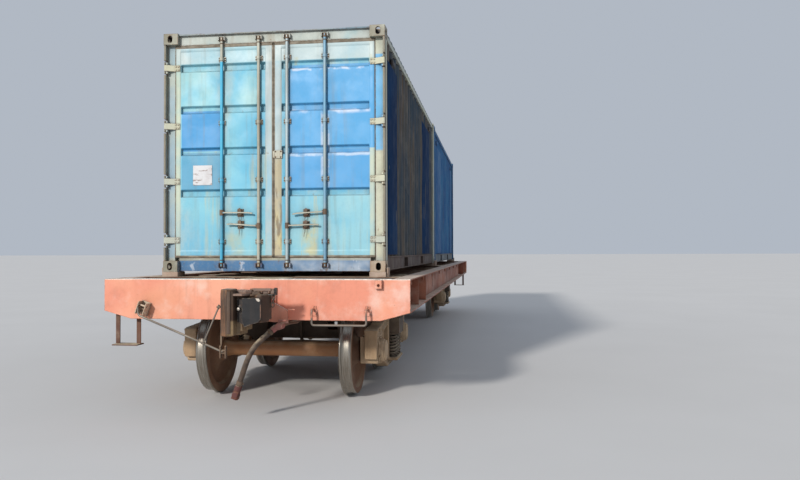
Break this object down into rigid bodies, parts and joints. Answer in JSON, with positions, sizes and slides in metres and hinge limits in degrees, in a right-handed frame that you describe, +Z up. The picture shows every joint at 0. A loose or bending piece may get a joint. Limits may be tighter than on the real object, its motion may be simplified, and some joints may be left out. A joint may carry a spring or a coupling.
{
  "type": "container flatcar, four-axle, with two twenty-foot shipping boxes",
  "caption": "Open-frame railway flatcar on two pivoting bogies carrying corrugated freight boxes with hinged end doors, automatic couplers and hanging brake hoses.",
  "frame": {"origin": "middle of the car on the floor, at the level of the wheel flange tips", "axes": "+X across the car, +Y along it away from the pictured end, +Z up"},
  "size_m": [3.1, 14.6259, 3.9688],
  "materials": {
    "axle_steel": "brown rust film",
    "bogie_iron": "dusty dark casting",
    "box_base_paint": "dark underside coating",
    "box_door_paint": "sun-faded sky blue paint",
    "box_floor_wood": "worn plywood boards",
    "box_frame_paint": "beige paint with rust and scuffs",
    "box_rear_paint": "blue paint",
    "box_roof_paint": "dusty weathered paint",
    "box_wall_paint": "dusty grey-blue paint",
    "coupler_iron": "worn casting with rust",
    "equipment_paint": "dark dusty paint",
    "frame_paint": "salmon red-oxide paint, faded, dusty",
    "hose_rubber": "dusty grey rubber",
    "lock_steel": "galvanised bars, blue overspray and rust",
    "pipe_steel": "dirty painted pipe",
    "rod_steel": "dull steel, scratched paint",
    "sill_paint": "brown-orange oxide paint with rust",
    "spring_steel": "dusty dark steel",
    "underframe_paint": "dirty oxide paint",
    "valve_paint": "dull red paint",
    "wheel_steel": "rusty disc with polished tread"
  },
  "bodies": {
    "frame": {"air_distributor": "equipment_paint", "air_reservoir": "equipment_paint", "body_bolsters": "underframe_paint", "box_front_base": "box_base_paint", "box_front_floor": "box_floor_wood", "box_front_frame": "box_frame_paint", "box_front_roof": "box_roof_paint", "box_front_walls": "box_wall_paint", "box_pads": "frame_paint", "box_rear_base": "box_base_paint", "box_rear_floor": "box_floor_wood", "box_rear_frame": "box_rear_paint", "box_rear_roof": "box_roof_paint", "box_rear_walls": "box_rear_paint", "brake_cylinder": "equipment_paint", "brake_hose_front": "hose_rubber", "brake_hose_rear": "hose_rubber", "brake_pipe": "pipe_steel", "brake_rods": "rod_steel", "centre_sill": "underframe_paint", "corner_steps": "underframe_paint", "cross_members": "underframe_paint", "draft_gear": "coupler_iron", "end_beams": "frame_paint", "end_valves": "valve_paint", "grab_handles": "rod_steel", "handbrake": "equipment_paint", "hose_connectors": "valve_paint", "pipe_brackets": "pipe_steel", "reservoir_straps": "equipment_paint", "side_sills": "sill_paint", "uncoupling_levers": "rod_steel"},
    "bogie_front": {"bogie_front_axleboxes": "bogie_iron", "bogie_front_bolster": "bogie_iron", "bogie_front_brake_gear": "bogie_iron", "bogie_front_side_frames": "bogie_iron", "bogie_front_springs": "spring_steel"},
    "bogie_rear": {"bogie_rear_axleboxes": "bogie_iron", "bogie_rear_bolster": "bogie_iron", "bogie_rear_brake_gear": "bogie_iron", "bogie_rear_side_frames": "bogie_iron", "bogie_rear_springs": "spring_steel"},
    "coupler_front": {"coupler_front": "coupler_iron"},
    "coupler_rear": {"coupler_rear": "coupler_iron"},
    "wheelset_1": {"wheelset_1_wheels": "wheel_steel", "wheelset_1_axle": "axle_steel"},
    "wheelset_2": {"wheelset_2_wheels": "wheel_steel", "wheelset_2_axle": "axle_steel"},
    "wheelset_3": {"wheelset_3_wheels": "wheel_steel", "wheelset_3_axle": "axle_steel"},
    "wheelset_4": {"wheelset_4_wheels": "wheel_steel", "wheelset_4_axle": "axle_steel"},
    "box_front_door_left": {"box_front_door_left": "box_door_paint", "box_front_locks_left": "lock_steel"},
    "box_front_door_right": {"box_front_door_right": "box_door_paint", "box_front_locks_right": "lock_steel"},
    "box_rear_door_left": {"box_rear_door_left": "box_rear_paint", "box_rear_locks_left": "lock_steel"},
    "box_rear_door_right": {"box_rear_door_right": "box_rear_paint", "box_rear_locks_right": "lock_steel"}
  },
  "joints": [
    {"name": "bogie_front_pivot", "type": "hinge", "parent": "frame", "child": "bogie_front", "pos_m": [0, -4.7, 0.832], "axis": [0, 0, 1], "range_deg": [-5, 5]},
    {"name": "bogie_rear_pivot", "type": "hinge", "parent": "frame", "child": "bogie_rear", "pos_m": [0, 4.7, 0.832], "axis": [0, 0, 1], "range_deg": [-5, 5]},
    {"name": "wheelset_1_spin", "type": "hinge", "parent": "bogie_front", "child": "wheelset_1", "pos_m": [0, -5.625, 0.5065], "axis": [1, 0, 0], "continuous": true},
    {"name": "wheelset_2_spin", "type": "hinge", "parent": "bogie_front", "child": "wheelset_2", "pos_m": [0, -3.775, 0.5065], "axis": [1, 0, 0], "continuous": true},
    {"name": "wheelset_3_spin", "type": "hinge", "parent": "bogie_rear", "child": "wheelset_3", "pos_m": [0, 3.775, 0.5065], "axis": [1, 0, 0], "continuous": true},
    {"name": "wheelset_4_spin", "type": "hinge", "parent": "bogie_rear", "child": "wheelset_4", "pos_m": [0, 5.625, 0.5065], "axis": [1, 0, 0], "continuous": true},
    {"name": "box_front_door_right_hinge", "type": "hinge", "parent": "frame", "child": "box_front_door_right", "pos_m": [1.208, -6.088, 2.6], "axis": [0, 0, 1], "range_deg": [0, 270]},
    {"name": "box_front_door_left_hinge", "type": "hinge", "parent": "frame", "child": "box_front_door_left", "pos_m": [-1.208, -6.088, 2.6], "axis": [0, 0, -1], "range_deg": [0, 270]},
    {"name": "box_rear_door_right_hinge", "type": "hinge", "parent": "frame", "child": "box_rear_door_right", "pos_m": [-1.208, 6.088, 2.6], "axis": [0, 0, 1], "range_deg": [0, 270]},
    {"name": "box_rear_door_left_hinge", "type": "hinge", "parent": "frame", "child": "box_rear_door_left", "pos_m": [1.208, 6.088, 2.6], "axis": [0, 0, -1], "range_deg": [0, 270]},
    {"name": "coupler_front_swing", "type": "hinge", "parent": "frame", "child": "coupler_front", "pos_m": [0, -6.29, 1.083], "axis": [0, 0, 1], "range_deg": [-11.4, 5.6]},
    {"name": "coupler_rear_swing", "type": "hinge", "parent": "frame", "child": "coupler_rear", "pos_m": [0, 6.29, 1.083], "axis": [0, 0, 1], "range_deg": [-8.5, 8.5]}
  ]
}
